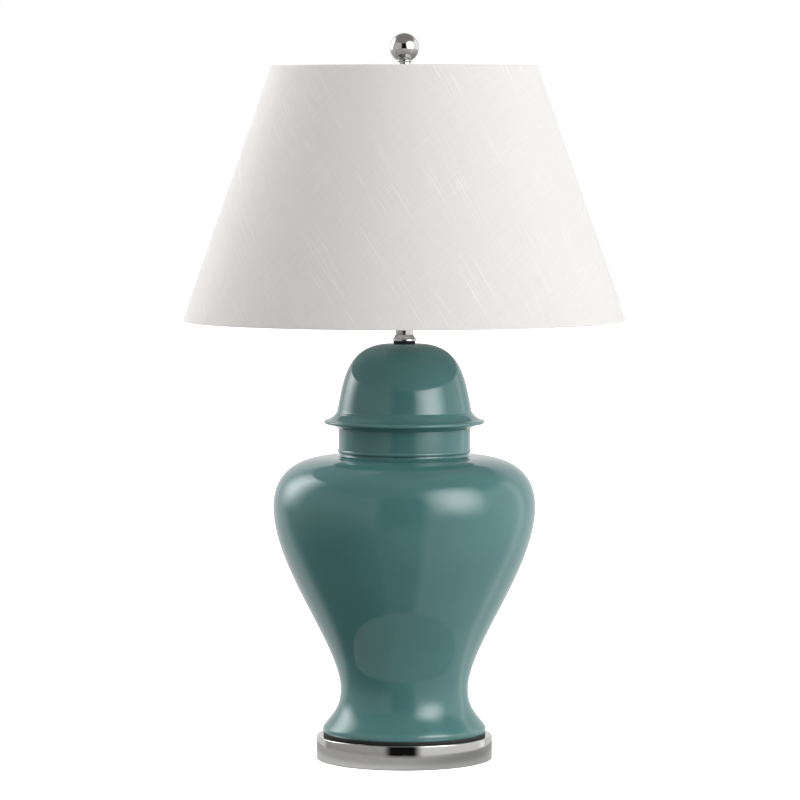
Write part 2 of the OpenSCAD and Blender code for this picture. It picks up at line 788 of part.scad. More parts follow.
base_felt_pad();
base_closing_board();
base_shell();
base_weight();
base_flat_washer();
base_lock_washer();
base_hex_nut();
cord_bushing();
jar_seat_pad();
jar_body();
jar_lid();
threaded_rod();
lid_washer();
neck_flange();
neck_tube();
harp_saddle();
harp_wire();
harp_ferrule_left();
harp_ferrule_right();
harp_top_plate();
harp_swivel_stud();
socket_cap();
socket_set_screw();
socket_shell();
socket_insulator();
socket_interior();
socket_screw_shell();
socket_centre_contact();
socket_terminal_screws();
switch_spindle();
switch_knob();
bulb_contact();
bulb_insulator();
bulb_screw_cap();
bulb_housing();
bulb_led_board();
bulb_diffuser();
shade_fabric();
shade_liner();
shade_top_trim();
shade_bottom_trim();
shade_top_ring();
shade_bottom_ring();
shade_spider_arms();
shade_spider_hub();
finial_base();
finial_insert();
finial_ball();
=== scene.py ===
"""The looks of the table lamp: a glazed jar on a polished base under a linen shade.

Heights and radii in the outlines are millimetres; everything that Blender is given is metres.
"""

import json
import math

import bmesh
import bpy
from mathutils import Matrix, Vector
from mathutils.geometry import interpolate_bezier


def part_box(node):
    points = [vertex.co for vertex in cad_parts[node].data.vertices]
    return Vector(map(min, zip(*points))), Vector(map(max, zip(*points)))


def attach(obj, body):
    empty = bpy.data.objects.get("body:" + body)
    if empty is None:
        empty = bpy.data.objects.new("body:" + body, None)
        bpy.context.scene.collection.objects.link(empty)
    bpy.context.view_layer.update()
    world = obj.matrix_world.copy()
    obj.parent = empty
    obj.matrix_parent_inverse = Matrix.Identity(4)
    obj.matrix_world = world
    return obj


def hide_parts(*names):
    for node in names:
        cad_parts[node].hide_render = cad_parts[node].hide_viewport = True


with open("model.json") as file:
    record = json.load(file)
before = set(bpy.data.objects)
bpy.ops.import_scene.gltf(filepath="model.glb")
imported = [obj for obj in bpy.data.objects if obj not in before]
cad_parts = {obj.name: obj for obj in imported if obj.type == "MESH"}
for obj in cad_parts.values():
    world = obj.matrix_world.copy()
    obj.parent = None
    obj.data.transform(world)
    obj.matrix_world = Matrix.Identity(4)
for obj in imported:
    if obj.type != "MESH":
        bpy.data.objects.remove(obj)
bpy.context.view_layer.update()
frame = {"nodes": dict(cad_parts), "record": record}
MM = 0.001
AROUND = 256  # steps round the large turned pieces
AROUND_SMALL = 128  # and round the small ones
FULL_TURN = 2 * math.pi


# ---- Outlines, in millimetres: (distance from the lamp's axis, height) ----

def low(node):
    """Height of a node's lowest point."""
    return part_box(node)[0][2] / MM


def high(node):
    """Height of a node's highest point."""
    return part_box(node)[1][2] / MM


def reach(node):
    """Largest distance from the axis of a turned node."""
    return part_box(node)[1][0] / MM


def curve(start, leave, arrive, end, count):
    """Points on a cubic curve, both ends included."""
    knots = [Vector((r, z, 0)) for r, z in (start, leave, arrive, end)]
    return [(p.x, p.y) for p in interpolate_bezier(*knots, count)]


def arc(centre, radius, first, last, count):
    """Points on an arc between two angles in degrees, both ends included."""
    turns = [math.radians(first + (last - first) * i / (count - 1)) for i in range(count)]
    return [(centre[0] + radius * math.cos(a), centre[1] + radius * math.sin(a)) for a in turns]


def inset(path, wall):
    """The path moved towards the axis by a wall's thickness."""
    inner = []
    for i, (r, z) in enumerate(path):
        before = path[max(i - 1, 0)]
        after = path[min(i + 1, len(path) - 1)]
        run = Vector((after[0] - before[0], after[1] - before[1])).normalized()
        inner.append((r - wall * run.y, z + wall * run.x))
    return inner


# ---- Meshes ----

WELD = 1e-7  # metres between two points that are one


def finished(bm, name, material, body, nodes=(), sharp=32.0):
    """Makes the bmesh an object that rides on a body and stands for the given nodes.

    Edges whose faces meet at more than the sharp angle, in degrees, are shaded hard.
    """
    bmesh.ops.remove_doubles(bm, verts=bm.verts, dist=WELD)
    bmesh.ops.recalc_face_normals(bm, faces=bm.faces)
    for face in bm.faces:
        face.smooth = True
    for edge in bm.edges:
        edge.smooth = edge.calc_face_angle(0.0) < math.radians(sharp)
    mesh = bpy.data.meshes.new(name)
    bm.to_mesh(mesh)
    bm.free()
    mesh.materials.append(material)
    piece = bpy.data.objects.new(name, mesh)
    bpy.context.scene.collection.objects.link(piece)
    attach(piece, body)
    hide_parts(*nodes)
    return piece


def spun(outline, steps=AROUND, closed=True):
    """A bmesh spun about the lamp's axis from an outline of (r, z) points in millimetres."""
    bm = bmesh.new()
    ring = [bm.verts.new((r * MM, 0, z * MM)) for r, z in outline]
    pairs = list(zip(ring, ring[1:]))
    if closed:
        pairs.append((ring[-1], ring[0]))
    edges = [bm.edges.new(pair) for pair in pairs]
    bmesh.ops.spin(bm, geom=ring + edges, cent=(0, 0, 0), axis=(0, 0, 1), angle=FULL_TURN,
                   steps=steps, use_merge=True)
    bmesh.ops.remove_doubles(bm, verts=bm.verts, dist=WELD)
    bmesh.ops.recalc_face_normals(bm, faces=bm.faces)
    return bm


def soften(bm, width):
    """Bevels every hard edge by a width in millimetres."""
    hard = math.radians(30)
    edges = [e for e in bm.edges if len(e.link_faces) == 2 and e.calc_face_angle(0.0) > hard]
    bmesh.ops.bevel(bm, geom=edges, offset=width * MM, offset_type="OFFSET", segments=3,
                    profile=0.5, affect="EDGES", clamp_overlap=True, material=-1)


# ---- Shader maths ----

class Term:
    """A socket of a graph; arithmetic on it adds nodes to that graph."""

    def __init__(self, graph, socket):
        self.graph = graph
        self.socket = socket

    def maths(self, operation, *values):
        """A Math node of an operation on the given values."""
        return self.graph.add("ShaderNodeMath", {"operation": operation}, dict(enumerate(values)))

    def __add__(self, other):
        return self.maths("ADD", self, other)

    __radd__ = __add__

    def __sub__(self, other):
        return self.maths("SUBTRACT", self, other)

    def __rsub__(self, other):
        return self.maths("SUBTRACT", other, self)

    def __mul__(self, other):
        return self.maths("MULTIPLY", self, other)

    __rmul__ = __mul__

    def __pow__(self, other):
        return self.maths("POWER", self, other)

    def __rpow__(self, other):
        return self.maths("POWER", other, self)

    def __abs__(self):
        return self.maths("ABSOLUTE", self)

    def ramp(self, start, end, to_start=0.0, to_end=1.0):
        """The value mapped smoothly from start..end to to_start..to_end, and held beyond them."""
        return self.graph.add(
            "ShaderNodeMapRange", {"interpolation_type": "SMOOTHSTEP"},
            {"Value": self, "From Min": start, "From Max": end, "To Min": to_start, "To Max": to_end})


class Graph:
    """A node tree that terms of shader maths are added to."""

    def __init__(self, tree):
        self.tree = tree

    def feed(self, socket, value):
        """Links a term to a socket, or sets the socket to a plain value."""
        if isinstance(value, Term):
            self.tree.links.new(value.socket, socket)
        elif socket.type == "RGBA":
            socket.default_value = (*value, 1.0)
        else:
            socket.default_value = value

    def add(self, kind, settings=None, inputs=None, output=0):
        """Adds a node: its settings first, then values or links of its sockets."""
        node = self.tree.nodes.new(kind)
        for key, value in (settings or {}).items():
            setattr(node, key, value)
        for key, value in (inputs or {}).items():
            self.feed(node.inputs[key], value)
        return None if output is None else Term(self, node.outputs[output])

    def place(self):
        """The point on the piece, in metres, in the lamp's frame."""
        return self.add("ShaderNodeTexCoord", output="Object")

    def parts(self, vector):
        """The x, y and z of a vector."""
        split = self.add("ShaderNodeSeparateXYZ", inputs={"Vector": vector})
        outputs = split.socket.node.outputs
        return [Term(self, outputs[i]) for i in range(3)]

    def joined(self, x, y, z):
        """A vector, or a colour, from three values."""
        return self.add("ShaderNodeCombineXYZ", inputs={"X": x, "Y": y, "Z": z})

    def noise(self, vector, scale, detail=3.0, roughness=0.5):
        """Noise 0..1 over a vector."""
        return self.add("ShaderNodeTexNoise", {"noise_dimensions": "3D"},
                        {"Vector": vector, "Scale": scale, "Detail": detail, "Roughness": roughness})

    def mix(self, factor, first, second):
        """Two colours mixed; sockets 0, 6 and 7 are the Mix node's factor and colours."""
        return self.add("ShaderNodeMix", {"data_type": "RGBA"}, {0: factor, 6: first, 7: second}, 2)


class Finish(Graph):
    """A material and the nodes that feed its Principled shader."""

    def __init__(self, name, **constants):
        self.material = bpy.data.materials.new(name)
        self.material.use_nodes = True
        super().__init__(self.material.node_tree)
        self.shader = self.tree.nodes["Principled BSDF"]
        for key, value in constants.items():
            self.set(key.replace("_", " "), value)

    def set(self, name, value):
        """Sets or links an input of the shader."""
        self.feed(self.shader.inputs[name], value)

    def bump(self, height, strength, distance):
        """Feeds a height in 0..1 to the shader's normal, over a depth in metres."""
        node = self.add("ShaderNodeBump", inputs={
            "Height": height, "Strength": strength, "Distance": distance})
        self.set("Normal", node)

    def fade(self, share):
        """Keeps a share 0..1 of the shader and lets light straight through for the rest."""
        clear = self.add("ShaderNodeBsdfTransparent")
        own = Term(self, self.shader.outputs[0])
        either = self.add("ShaderNodeMixShader", inputs={0: share, 1: clear, 2: own})
        self.feed(self.tree.nodes["Material Output"].inputs["Surface"], either)


def streaks(finish, along_z, around):
    """Fine lathe lines: noise drawn out round the axis and tight along the height."""
    x, y, z = finish.parts(finish.place())
    return finish.noise(finish.joined(x * around, y * around, z * along_z), 1.0, 4.0, 0.6)


# ---- Finishes ----

def teal_glaze():
    """Deep glossy glaze: broad drifts of tone, thinner and paler where the form turns sharply; the paler
    edges are partly a painted highlight along those bends.
    """
    f = Finish("teal_glaze", IOR=1.52)
    place = f.place()
    drift = f.noise(place, 9.0, 2.0).ramp(0.35, 0.65)
    speck = f.noise(place, 420.0, 2.0).ramp(0.3, 0.7)
    tone = f.mix(drift, (0.074, 0.202, 0.200), (0.085, 0.226, 0.222))
    tone = f.mix(speck * 0.10, tone, (0.060, 0.165, 0.165))
    thin_glaze_and_highlight = f.add("ShaderNodeAttribute", {"attribute_name": "thin_glaze_and_highlight"}, output="Fac")
    # painted highlight: the teal is mixed paler near sharp bends, partly thin glaze and partly light
    # caught on the edges
    f.set("Base Color", f.mix(thin_glaze_and_highlight * 0.5, tone, (0.150, 0.300, 0.285)))
    f.set("Roughness", drift.ramp(0.0, 1.0, 0.05, 0.08))
    ripple = f.noise(place, 34.0, 2.0)
    f.bump(ripple, 0.06, 0.002)
    return f.material


def linen():
    """Slubby linen laid flat round the cone: fine threads both ways, some of them thick and bright."""
    f = Finish("linen", Roughness=0.92, Sheen_Weight=0.25, Sheen_Roughness=0.6)
    u, v, _ = f.parts(f.add("ShaderNodeUVMap", {"uv_map": "flat"}))
    row_pitch, fibre_pitch, fibre_length = 0.0007, 0.0009, 0.05

    def threads(angle, seed):
        """Threads at an angle in degrees: their thickness 0..1, the sparse slubs, and the rows."""
        c, s = math.cos(math.radians(angle)), math.sin(math.radians(angle))
        along = u * c + v * s
        across = v * c - u * s
        fibre = f.joined(along * (1 / fibre_length), across * (1 / fibre_pitch), seed)
        slub = f.noise(f.joined(along * 11.0, across * 1000.0, seed + 3.0), 1.0, 2.0, 0.6)
        patch = f.noise(f.joined(along * 7.0, across * 26.0, seed + 7.0), 1.0, 1.0)
        phase = across * (FULL_TURN / row_pitch)
        rows = phase.maths("SINE", phase)
        return f.noise(fibre, 1.0, 2.0), slub.ramp(0.56, 0.70) * patch.ramp(0.42, 0.62), rows

    warp, warp_slub, warp_rows = threads(-60.0, 1.0)
    weft, weft_slub, weft_rows = threads(42.0, 5.0)
    slub = warp_slub * 0.95 + weft_slub * 0.4
    weave = warp_rows * weft_rows
    x, y, _ = f.parts(f.place())
    seam_x, lap_half, lap_soft = 0.004, 0.006, 0.0002  # the lap of the cloth, at the back
    at_back = y.ramp(0.0, 0.01)
    lap = abs(x - seam_x).ramp(lap_half - lap_soft, lap_half + lap_soft, 1.0, 0.0) * at_back
    tone = f.mix((warp + weft).ramp(0.7, 1.3), (0.785, 0.768, 0.746), (0.830, 0.816, 0.795))
    f.set("Base Color", f.mix(slub.ramp(0.0, 0.8), tone, (0.94, 0.93, 0.915)))
    f.bump(warp * 0.3 + weft * 0.3 + slub * 0.6 + weave * 0.12 + lap, 0.5, 0.0005)
    return f.material


def polished(name, colour, rough, line_depth):
    """Polished plated metal with faint lathe lines and a slight haze in places."""
    f = Finish(name, Base_Color=colour, Metallic=1.0)
    lines = streaks(f, 5200.0, 9.0)
    haze = f.noise(f.place(), 40.0, 3.0)
    f.set("Roughness", haze.ramp(0.35, 0.7, rough, rough * 1.8) + lines * (rough * 0.4))
    f.bump(lines, line_depth, 0.0002)
    return f.material


def worn_metal(name, clean, dull, rough, spread):
    """Unpolished metal with patches of tarnish and fine scratches."""
    f = Finish(name, Metallic=1.0)
    place = f.place()
    patch = f.noise(place, 60.0, 4.0, 0.6).ramp(0.38, 0.68)
    drawn_out = f.add("ShaderNodeVectorMath", {"operation": "MULTIPLY"},
                      {0: place, 1: (900.0, 160.0, 2600.0)})
    scratch = f.noise(drawn_out, 1.0, 3.0)
    f.set("Base Color", f.mix(patch, clean, dull))
    f.set("Roughness", patch.ramp(0.0, 1.0, rough, rough + spread))
    f.bump(scratch, 0.06, 0.0002)
    return f.material


def moulded(name, colour, rough, grain=900.0, depth=0.12, tint=0.12):
    """Moulded plastic or rubber: fine grain, slightly uneven tone."""
    f = Finish(name)
    place = f.place()
    cloud = f.noise(place, 35.0, 3.0).ramp(0.3, 0.7)
    pits = f.noise(place, grain, 3.0, 0.6)
    darker = tuple(c * (1 - tint) for c in colour)
    f.set("Base Color", f.mix(cloud, colour, darker))
    f.set("Roughness", pits.ramp(0.3, 0.7, rough * 0.9, min(1.0, rough * 1.15)))
    f.bump(pits, depth, 0.0002)
    return f.material


def felt():
    """Pressed wool felt: tangled fibres and lint."""
    f = Finish("felt", Roughness=1.0, Sheen_Weight=0.4)
    place = f.place()
    fibres = f.noise(place, 1500.0, 4.0, 0.7)
    lint = f.noise(place, 380.0, 3.0, 0.7).ramp(0.62, 0.72)
    f.set("Base Color", f.mix(fibres, (0.018, 0.018, 0.020), (0.05, 0.05, 0.053)))
    f.bump(fibres * 0.7 + lint * 0.5, 0.9, 0.0006)
    return f.material


def hardboard():
    """Brown hardboard: flecks of pressed fibre."""
    f = Finish("hardboard", Roughness=0.75)
    place = f.place()
    fleck = f.noise(place, 700.0, 4.0, 0.7)
    cloud = f.noise(place, 30.0, 2.0)
    tone = f.mix(fleck, (0.17, 0.095, 0.045), (0.34, 0.21, 0.11))
    f.set("Base Color", f.mix(cloud * 0.4, tone, (0.13, 0.075, 0.04)))
    f.bump(fleck, 0.4, 0.0003)
    return f.material


def cast_iron():
    """Sand-cast iron with a coarse skin."""
    f = Finish("cast_iron", Metallic=0.7)
    place = f.place()
    sand = f.noise(place, 520.0, 4.0, 0.65)
    rust = f.noise(place, 45.0, 4.0, 0.65).ramp(0.55, 0.72)
    f.set("Base Color", f.mix(rust * 0.5, (0.045, 0.045, 0.047), (0.12, 0.055, 0.03)))
    f.set("Roughness", sand.ramp(0.3, 0.7, 0.6, 0.85))
    f.bump(sand, 0.7, 0.0008)
    return f.material


def fibre_sleeve():
    """Tan pressed card of the socket's liner."""
    f = Finish("fibre_sleeve", Roughness=0.85)
    x, y, z = f.parts(f.place())
    grain = f.noise(f.joined(x * 300.0, y * 300.0, z * 900.0), 1.0, 4.0, 0.65)
    f.set("Base Color", f.mix(grain, (0.36, 0.26, 0.15), (0.52, 0.41, 0.27)))
    f.bump(grain, 0.35, 0.0003)
    return f.material


def opal():
    """The bulb's frosted globe."""
    f = Finish("opal_plastic", Subsurface_Weight=0.3, Subsurface_Scale=0.01,
               Subsurface_Radius=(1.0, 0.9, 0.8))
    place = f.place()
    frost = f.noise(place, 1400.0, 2.0)
    f.set("Base Color", f.mix(f.noise(place, 25.0, 2.0), (0.86, 0.855, 0.83), (0.90, 0.895, 0.875)))
    f.set("Roughness", frost.ramp(0.3, 0.7, 0.38, 0.5))
    f.bump(frost, 0.08, 0.0002)
    return f.material


def liner_film():
    """White styrene behind the linen, which shows faintly through it."""
    f = Finish("styrene_liner", IOR=1.45)
    place = f.place()
    shadow = f.noise(place, 160.0, 4.0, 0.6)
    f.set("Base Color", f.mix(shadow, (0.80, 0.795, 0.77), (0.86, 0.855, 0.835)))
    f.set("Roughness", shadow.ramp(0.3, 0.7, 0.42, 0.55))
    f.bump(f.noise(place, 1100.0, 2.0), 0.10, 0.0002)
    return f.material


LOOKS = {
    "teal_glaze": teal_glaze(),
    "linen": linen(),
    "polished_nickel": polished("polished_nickel", (0.52, 0.512, 0.502), 0.02, 0.05),
    "chrome": polished("chrome", (0.66, 0.645, 0.635), 0.02, 0.06),
    "lamp_brass": worn_metal("lamp_brass", (0.80, 0.58, 0.27), (0.62, 0.42, 0.18), 0.22, 0.16),
    "zinc_steel": worn_metal("zinc_steel", (0.62, 0.63, 0.65), (0.45, 0.46, 0.48), 0.28, 0.18),
    "aluminium": worn_metal("aluminium", (0.80, 0.81, 0.82), (0.68, 0.69, 0.70), 0.25, 0.12),
    "black_plastic": moulded("black_plastic", (0.016, 0.016, 0.017), 0.38),
    "black_rubber": moulded("black_rubber", (0.012, 0.012, 0.013), 0.7, 600.0, 0.2),
    "black_glass": moulded("black_glass", (0.01, 0.01, 0.014), 0.12, 300.0, 0.04),
    "white_plastic": moulded("white_plastic", (0.80, 0.795, 0.78), 0.42, 900.0, 0.10, 0.05),
    "felt": felt(),
    "hardboard": hardboard(),
    "cast_iron": cast_iron(),
    "fibre_sleeve": fibre_sleeve(),
    "opal_plastic": opal(),
    "styrene_liner": liner_film(),
}
LOOKS["linen_hem"] = LOOKS["linen"]
SLOT_OF = {row["node"]: row["material_slot"] for row in frame["record"]["subparts"]}
BODY_OF = {node: body
           for body, nodes in frame["record"]["behaviour"]["bodies"].items()
           for node in nodes}


def stand_in(node, bm, sharp=32.0):
    """A better mesh of one CAD node, on its body and in its finish."""
    slot = SLOT_OF[node]
    return finished(bm, node + "_look", LOOKS[slot], BODY_OF[node], (node,), sharp)


# ---- The jar and its lid ----

def mark_thin_glaze_and_highlight(piece, bends):
    """Stores where the glaze runs thin and a highlight is painted paler along the edge: near the given
    (r, z, width) bends, in millimetres.
    """
    mesh = piece.data
    thin_glaze_and_highlight = mesh.attributes.new("thin_glaze_and_highlight", "FLOAT", "POINT")
    for vertex, value in zip(mesh.vertices, thin_glaze_and_highlight.data):
        r = math.hypot(vertex.co.x, vertex.co.y) / MM
        z = vertex.co.z / MM
        near = [1.0 - math.hypot(r - bend_r, z - bend_z) / width for bend_r, bend_z, width in bends]
        value.value = max(0.0, *near)


SEAT = low("jar_body")
RIM = high("jar_body")
BELLY_R = reach("jar_body")
FOOT_R = 85.0
WAIST_R = 66.5
WAIST_Z = SEAT + 45.0
BELLY_Z = SEAT + 235.5
NECK_R = 68.4
SHOULDER_Z = SEAT + 287.7
JAR_WALL = 6.0
JAR_FLOOR = 7.2
FOOT_HOLLOW = 1.5
COVE_R = 3.4
BEAD_R = 2.3
ROD_HOLE_R = 5.3


def jar_outline():
    """The jar's closed section: foot, flare, swell, shoulder, cove, bead, neck, then the inside."""
    foot_round, foot_end, pull = 5.5, 36.0, 15.8
    foot = arc((FOOT_R - foot_round, SEAT + 3.5), foot_round, -39.5, foot_end, 12)
    lean = (-math.sin(math.radians(foot_end)), math.cos(math.radians(foot_end)))
    leave = (foot[-1][0] + pull * lean[0], foot[-1][1] + pull * lean[1])
    flare = curve(foot[-1], leave, (WAIST_R, WAIST_Z - 20), (WAIST_R, WAIST_Z), 20)
    swell = curve((WAIST_R, WAIST_Z), (WAIST_R, WAIST_Z + 45), (BELLY_R, BELLY_Z - 65),
                  (BELLY_R, BELLY_Z), 40)
    end_r = NECK_R + 1.6
    shoulder = curve((BELLY_R, BELLY_Z), (BELLY_R, BELLY_Z + 24),
                     (0.62 * BELLY_R + 0.58 * NECK_R, SHOULDER_Z + 0.8), (end_r, SHOULDER_Z), 36)
    cove = arc((end_r, SHOULDER_Z + COVE_R), COVE_R, 270, 180, 8)
    bead = arc((NECK_R - 1.5, SHOULDER_Z + 5.9), BEAD_R, -90, 50, 12)
    outside = flare + swell[1:] + shoulder[1:]
    inner_r = NECK_R - JAR_WALL
    inside = [(r, z) for r, z in inset(outside, JAR_WALL)
              if z > SEAT + JAR_FLOOR + 1 and (z < BELLY_Z or r > inner_r + 1)]
    return (
        [(ROD_HOLE_R, SEAT + FOOT_HOLLOW), (FOOT_R - 12, SEAT + FOOT_HOLLOW), (FOOT_R - 12, SEAT)]
        + foot + outside[1:] + cove[1:] + bead
        + [(NECK_R, SHOULDER_Z + 8.8), (NECK_R, RIM), (inner_r, RIM),
           (inner_r, SHOULDER_Z - JAR_WALL + 2)]
        + inside[::-1]
        + [(inside[0][0] - 1, SEAT + JAR_FLOOR), (ROD_HOLE_R, SEAT + JAR_FLOOR)])


# the jar's bead and foot get the paler glaze that is partly a painted highlight
jar = stand_in("jar_body", spun(jar_outline()), 40.0)
mark_thin_glaze_and_highlight(jar, [(NECK_R + 1, SHOULDER_Z + 6, 3.5), (FOOT_R + 2, SEAT + 3.5, 7.0)])

BRIM_R = reach("jar_lid")
CROWN_Z = high("jar_lid")
DOME_R = 69.6
LID_WALL = 5.0
LIP_R = NECK_R - JAR_WALL - 0.9
LIP_DEPTH = 9.0
EDGE_R = 2.0


def lid_outline():
    """The lid's closed section: lip, brim, crease, dome, hole, then back down inside."""
    edge_r, edge_z = BRIM_R - EDGE_R, RIM + 6.6
    dome_z = RIM + 18.5
    dome = curve((DOME_R, dome_z), (DOME_R - 6.9, dome_z + 36.1),
                 (DOME_R - 11, CROWN_Z), (12, CROWN_Z), 40)
    under = curve((NECK_R + 1.2, RIM + 0.1), (NECK_R + 3, RIM + 2.4), (edge_r - 6, RIM + 4),
                  (edge_r - 0.6, edge_z - EDGE_R), 12)
    brim = arc((edge_r, edge_z), EDGE_R, -90, 75, 12)
    rise = math.radians(76)
    tip = (edge_r + EDGE_R * math.cos(rise), edge_z + EDGE_R * math.sin(rise))
    slope = curve(tip, (edge_r - 4, edge_z + 2.4), (DOME_R + 3.6, RIM + 12.6),
                  (DOME_R + 1.5, RIM + 15.6), 12)
    crease = curve((DOME_R + 1.4, RIM + 15.9), (DOME_R + 0.9, RIM + 16.4),
                   (DOME_R + 0.2, RIM + 17.2), dome[0], 5)
    return (
        [(LIP_R - 4, RIM - LIP_DEPTH), (LIP_R, RIM - LIP_DEPTH), (LIP_R, RIM), (NECK_R + 1, RIM)]
        + under + brim + slope[1:] + crease + dome[1:]
        + [(ROD_HOLE_R, CROWN_Z), (ROD_HOLE_R, CROWN_Z - LID_WALL)]
        + inset(dome, LID_WALL)[::-1] + [(LIP_R - 4, RIM + 3)])


lid = stand_in("jar_lid", spun(lid_outline()), 40.0)
mark_thin_glaze_and_highlight(lid, [(BRIM_R, RIM + 6.6, 4.0), (12, CROWN_Z, 5.0)])


# ---- The base ----

BASE_STEPS = 512
BASE_WALL = 1.5
BASE_ROUND = 1.4
BUSHING_HOLE_R = 5.0


def base_shell():
    """The drum: a thin spun shell with a rounded shoulder, and the hole the cord's bushing sits in."""
    r, top, bottom = reach("base_shell"), high("base_shell"), low("base_shell")
    hole_z = (low("cord_bushing") + high("cord_bushing")) / 2
    rows = [hole_z - 6 + i for i in range(13)]  # a millimetre apart, past both sides of the hole
    shoulder = arc((r - BASE_ROUND, top - BASE_ROUND), BASE_ROUND, 90, 0, 8)
    inner_r = r - BASE_WALL
    outline = ([(ROD_HOLE_R, top), (FOOT_R, top), (r - 2.6, top)] + shoulder
               + [(r, z) for z in reversed(rows)]
               + [(r, bottom + 0.5), (r - 0.5, bottom), (inner_r, bottom)]
               + [(inner_r, z) for z in rows]
               + [(inner_r, top - BASE_WALL), (ROD_HOLE_R, top - BASE_WALL)])
    bm = spun(outline, BASE_STEPS)
    through = []
    for face in bm.faces:
        middle = face.calc_center_median() / MM
        if middle.y > r - 4 and math.hypot(middle.x, middle.z - hole_z) < BUSHING_HOLE_R:
            through.append(face)
    bmesh.ops.delete(bm, geom=through, context="FACES")
    bmesh.ops.bridge_loops(bm, edges=[edge for edge in bm.edges if edge.is_boundary])
    return bm


stand_in("base_shell", base_shell())


def disc(node, bore_r, edge, steps):
    """A ring as high and as wide as a node, round a bore, its edges softened by a few tenths."""
    r, bottom, top = reach(node), low(node), high(node)
    bm = spun([(bore_r, bottom), (r, bottom), (r, top), (bore_r, top)], steps)
    soften(bm, edge)
    return bm


stand_in("jar_seat_pad", disc("jar_seat_pad", ROD_HOLE_R, 0.5, AROUND))


# ---- Neck hardware ----

def neck_flange():
    """The cup at the tube's foot: a rolled bead with a cove above it."""
    r, z, top = reach("neck_flange"), low("neck_flange"), high("neck_flange")
    tube_r = reach("neck_tube")
    outline = ([(ROD_HOLE_R, z), (r - 0.5, z)] + arc((r - 0.7, z + 0.7), 0.7, -60, 0, 5)
               + arc((r - 0.9, z + 1.9), 0.9, 0, 75, 8)
               + curve((r - 1.3, z + 2.9), (r - 1.5, z + 3.7), (tube_r + 1.0, top - 2.6),
                       (tube_r + 0.5, top - 0.6), 10)
               + [(tube_r + 0.1, top), (ROD_HOLE_R, top)])
    return spun(outline, AROUND_SMALL)


TUBE_WALL = 1.2
stand_in("lid_washer", disc("lid_washer", ROD_HOLE_R, 0.5, AROUND_SMALL))
stand_in("neck_flange", neck_flange())
stand_in("neck_tube", disc("neck_tube", reach("neck_tube") - TUBE_WALL, 0.3, AROUND_SMALL))


# ---- The shade ----

SHADE_LOW = low("shade_bottom_trim")
SHADE_TOP = high("shade_top_trim")
SHADE_LOW_R = reach("shade_bottom_trim")
SHADE_TOP_R = 138.0
SLOPE = (SHADE_LOW_R - SHADE_TOP_R) / (SHADE_TOP - SHADE_LOW)
FACE = math.hypot(1.0, SLOPE)  # length down the slant for each millimetre of height
SHADE_H = SHADE_TOP - SHADE_LOW
HEM_T = 0.4
FABRIC_T = 0.9
LINER_T = 0.8
RING_ROOM = 3.3
EDGE_GAP = 0.6  # the cloth and its liner stop this short of the rolled edge


def shade_at(height, depth):
    """A point at a height above the shade's bottom and a depth behind its outer cone."""
    return (SHADE_LOW_R - SLOPE * height - depth * FACE, SHADE_LOW + height)


def cone_layer(outer, inner, count):
    """A closed cone between two depths, with a count of points up each side."""
    start, end = EDGE_GAP, SHADE_H - EDGE_GAP
    heights = [start + (end - start) * i / (count - 1) for i in range(count)]
    return spun([shade_at(height, outer) for height in reversed(heights)]
                + [shade_at(height, inner) for height in heights])


def lay_flat(piece):
    """Gives a piece on the cone the UV map flat: the cloth's own plane, in metres, cut at the seam."""
    mesh = piece.data
    flat = mesh.uv_layers.new(name="flat")
    apex = (SHADE_LOW + SHADE_LOW_R / SLOPE) * MM
    spread = SLOPE / FACE
    for face in mesh.polygons:
        angles = []
        for index in face.vertices:
            co = mesh.vertices[index].co
            angles.append(math.atan2(co.x, -co.y))
        wraps = max(angles) - min(angles) > math.pi
        for loop, angle in zip(face.loop_indices, angles):
            co = mesh.vertices[mesh.loops[loop].vertex_index].co
            if wraps and angle < 0:
                angle += FULL_TURN
            slant = (apex - co.z) * FACE
            flat.data[loop].uv = (slant * math.sin(angle * spread), -slant * math.cos(angle * spread))


FABRIC_BACK = HEM_T + FABRIC_T
LINER_BACK = FABRIC_BACK + LINER_T
cloth = stand_in("shade_fabric", cone_layer(HEM_T, FABRIC_BACK, 22))
lay_flat(cloth)
stand_in("shade_liner", cone_layer(FABRIC_BACK, LINER_BACK, 12))


def hem(bottom):
    """A narrow strip of the linen rolled over the shade's edge and its ring wire."""
    back = LINER_BACK + RING_ROOM
    face_side = [(0.385, 7.0), (0.36, 5.6), (0.32, 3.4), (0.25, 1.2)]
    rolled = [(0.4, 0.35), (0.9, 0.0), (back - 0.6, 0.0), (back + 0.2, 0.3)]
    back_side = [(back + 0.4, 1.0), (back + 0.4, 5.4), (back, 5.5), (back, EDGE_GAP)]
    under = [(HEM_T, EDGE_GAP), (HEM_T, 7.0)]
    strip = face_side + rolled + back_side + under
    return spun([shade_at(rise if bottom else SHADE_H - rise, depth) for depth, rise in strip])


bottom_hem = stand_in("shade_bottom_trim", hem(True), 50.0)
lay_flat(bottom_hem)
top_hem = stand_in("shade_top_trim", hem(False), 50.0)
lay_flat(top_hem)


def ring_wire(node):
    """A round wire bent to a ring."""
    thick = (high(node) - low(node)) / 2
    centre = (reach(node) - thick, (high(node) + low(node)) / 2)
    return spun(arc(centre, thick, 0, 345, 24))


stand_in("shade_top_ring", ring_wire("shade_top_ring"), 60.0)
stand_in("shade_bottom_ring", ring_wire("shade_bottom_ring"), 60.0)

